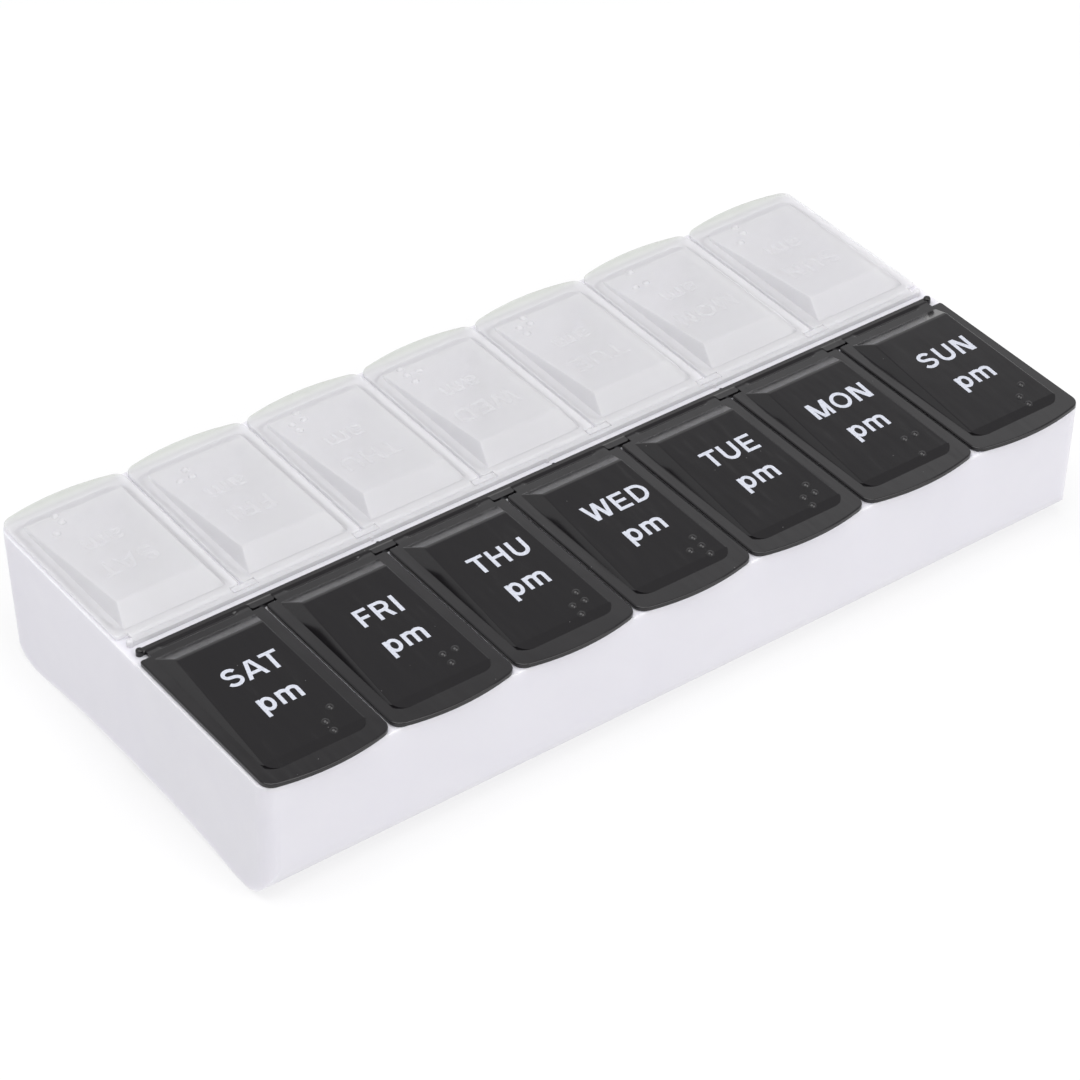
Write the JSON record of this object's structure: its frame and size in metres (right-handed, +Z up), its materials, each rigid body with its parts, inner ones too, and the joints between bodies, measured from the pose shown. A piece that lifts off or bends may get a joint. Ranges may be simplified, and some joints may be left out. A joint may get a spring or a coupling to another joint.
{
  "type": "travel pill organizer",
  "caption": "Flat twin-row weekly pill box: translucent tray, black pm and clear am snap lids on living hinges.",
  "frame": {"origin": "centre of the footprint, on the plane of the two lands that the tray rests on", "axes": "+X along the rows of compartments, -Y towards the pm row, +Z up"},
  "size_m": [0.1784, 0.09, 0.03],
  "materials": {
    "tray": "translucent white polypropylene, satin",
    "pm_strip": "black polypropylene, gloss",
    "am_strip": "natural translucent polypropylene, satin",
    "ink": "white pad-printed ink"
  },
  "bodies": {
    "tray_assembly": {"tray": "tray", "pm_hinge_rail": "pm_strip", "am_hinge_rail": "am_strip"},
    "pm_sat": {"pm_lid_sat": "pm_strip", "pm_web_sat": "pm_strip"},
    "pm_fri": {"pm_lid_fri": "pm_strip", "pm_web_fri": "pm_strip"},
    "pm_thu": {"pm_lid_thu": "pm_strip", "pm_web_thu": "pm_strip"},
    "pm_wed": {"pm_lid_wed": "pm_strip", "pm_web_wed": "pm_strip"},
    "pm_tue": {"pm_lid_tue": "pm_strip", "pm_web_tue": "pm_strip"},
    "pm_mon": {"pm_lid_mon": "pm_strip", "pm_web_mon": "pm_strip"},
    "pm_sun": {"pm_lid_sun": "pm_strip", "pm_web_sun": "pm_strip"},
    "am_sat": {"am_lid_sat": "am_strip", "am_web_sat": "am_strip"},
    "am_fri": {"am_lid_fri": "am_strip", "am_web_fri": "am_strip"},
    "am_thu": {"am_lid_thu": "am_strip", "am_web_thu": "am_strip"},
    "am_wed": {"am_lid_wed": "am_strip", "am_web_wed": "am_strip"},
    "am_tue": {"am_lid_tue": "am_strip", "am_web_tue": "am_strip"},
    "am_mon": {"am_lid_mon": "am_strip", "am_web_mon": "am_strip"},
    "am_sun": {"am_lid_sun": "am_strip", "am_web_sun": "am_strip"}
  },
  "joints": [
    {"name": "pm_sat_hinge", "type": "hinge", "parent": "tray_assembly", "child": "pm_sat", "pos_m": [-0.0762, -0.0026, 0.0271], "axis": [-1, 0, 0], "range_deg": [0, 85], "deforming": ["pm_web_sat"]},
    {"name": "pm_fri_hinge", "type": "hinge", "parent": "tray_assembly", "child": "pm_fri", "pos_m": [-0.0508, -0.0026, 0.0271], "axis": [-1, 0, 0], "range_deg": [0, 85], "deforming": ["pm_web_fri"]},
    {"name": "pm_thu_hinge", "type": "hinge", "parent": "tray_assembly", "child": "pm_thu", "pos_m": [-0.0254, -0.0026, 0.0271], "axis": [-1, 0, 0], "range_deg": [0, 85], "deforming": ["pm_web_thu"]},
    {"name": "pm_wed_hinge", "type": "hinge", "parent": "tray_assembly", "child": "pm_wed", "pos_m": [0, -0.0026, 0.0271], "axis": [-1, 0, 0], "range_deg": [0, 85], "deforming": ["pm_web_wed"]},
    {"name": "pm_tue_hinge", "type": "hinge", "parent": "tray_assembly", "child": "pm_tue", "pos_m": [0.0254, -0.0026, 0.0271], "axis": [-1, 0, 0], "range_deg": [0, 85], "deforming": ["pm_web_tue"]},
    {"name": "pm_mon_hinge", "type": "hinge", "parent": "tray_assembly", "child": "pm_mon", "pos_m": [0.0508, -0.0026, 0.0271], "axis": [-1, 0, 0], "range_deg": [0, 85], "deforming": ["pm_web_mon"]},
    {"name": "pm_sun_hinge", "type": "hinge", "parent": "tray_assembly", "child": "pm_sun", "pos_m": [0.0762, -0.0026, 0.0271], "axis": [-1, 0, 0], "range_deg": [0, 85], "deforming": ["pm_web_sun"]},
    {"name": "am_sat_hinge", "type": "hinge", "parent": "tray_assembly", "child": "am_sat", "pos_m": [-0.0762, 0.0026, 0.0271], "axis": [1, 0, 0], "range_deg": [0, 85], "deforming": ["am_web_sat"]},
    {"name": "am_fri_hinge", "type": "hinge", "parent": "tray_assembly", "child": "am_fri", "pos_m": [-0.0508, 0.0026, 0.0271], "axis": [1, 0, 0], "range_deg": [0, 85], "deforming": ["am_web_fri"]},
    {"name": "am_thu_hinge", "type": "hinge", "parent": "tray_assembly", "child": "am_thu", "pos_m": [-0.0254, 0.0026, 0.0271], "axis": [1, 0, 0], "range_deg": [0, 85], "deforming": ["am_web_thu"]},
    {"name": "am_wed_hinge", "type": "hinge", "parent": "tray_assembly", "child": "am_wed", "pos_m": [0, 0.0026, 0.0271], "axis": [1, 0, 0], "range_deg": [0, 85], "deforming": ["am_web_wed"]},
    {"name": "am_tue_hinge", "type": "hinge", "parent": "tray_assembly", "child": "am_tue", "pos_m": [0.0254, 0.0026, 0.0271], "axis": [1, 0, 0], "range_deg": [0, 85], "deforming": ["am_web_tue"]},
    {"name": "am_mon_hinge", "type": "hinge", "parent": "tray_assembly", "child": "am_mon", "pos_m": [0.0508, 0.0026, 0.0271], "axis": [1, 0, 0], "range_deg": [0, 85], "deforming": ["am_web_mon"]},
    {"name": "am_sun_hinge", "type": "hinge", "parent": "tray_assembly", "child": "am_sun", "pos_m": [0.0762, 0.0026, 0.0271], "axis": [1, 0, 0], "range_deg": [0, 85], "deforming": ["am_web_sun"]}
  ]
}
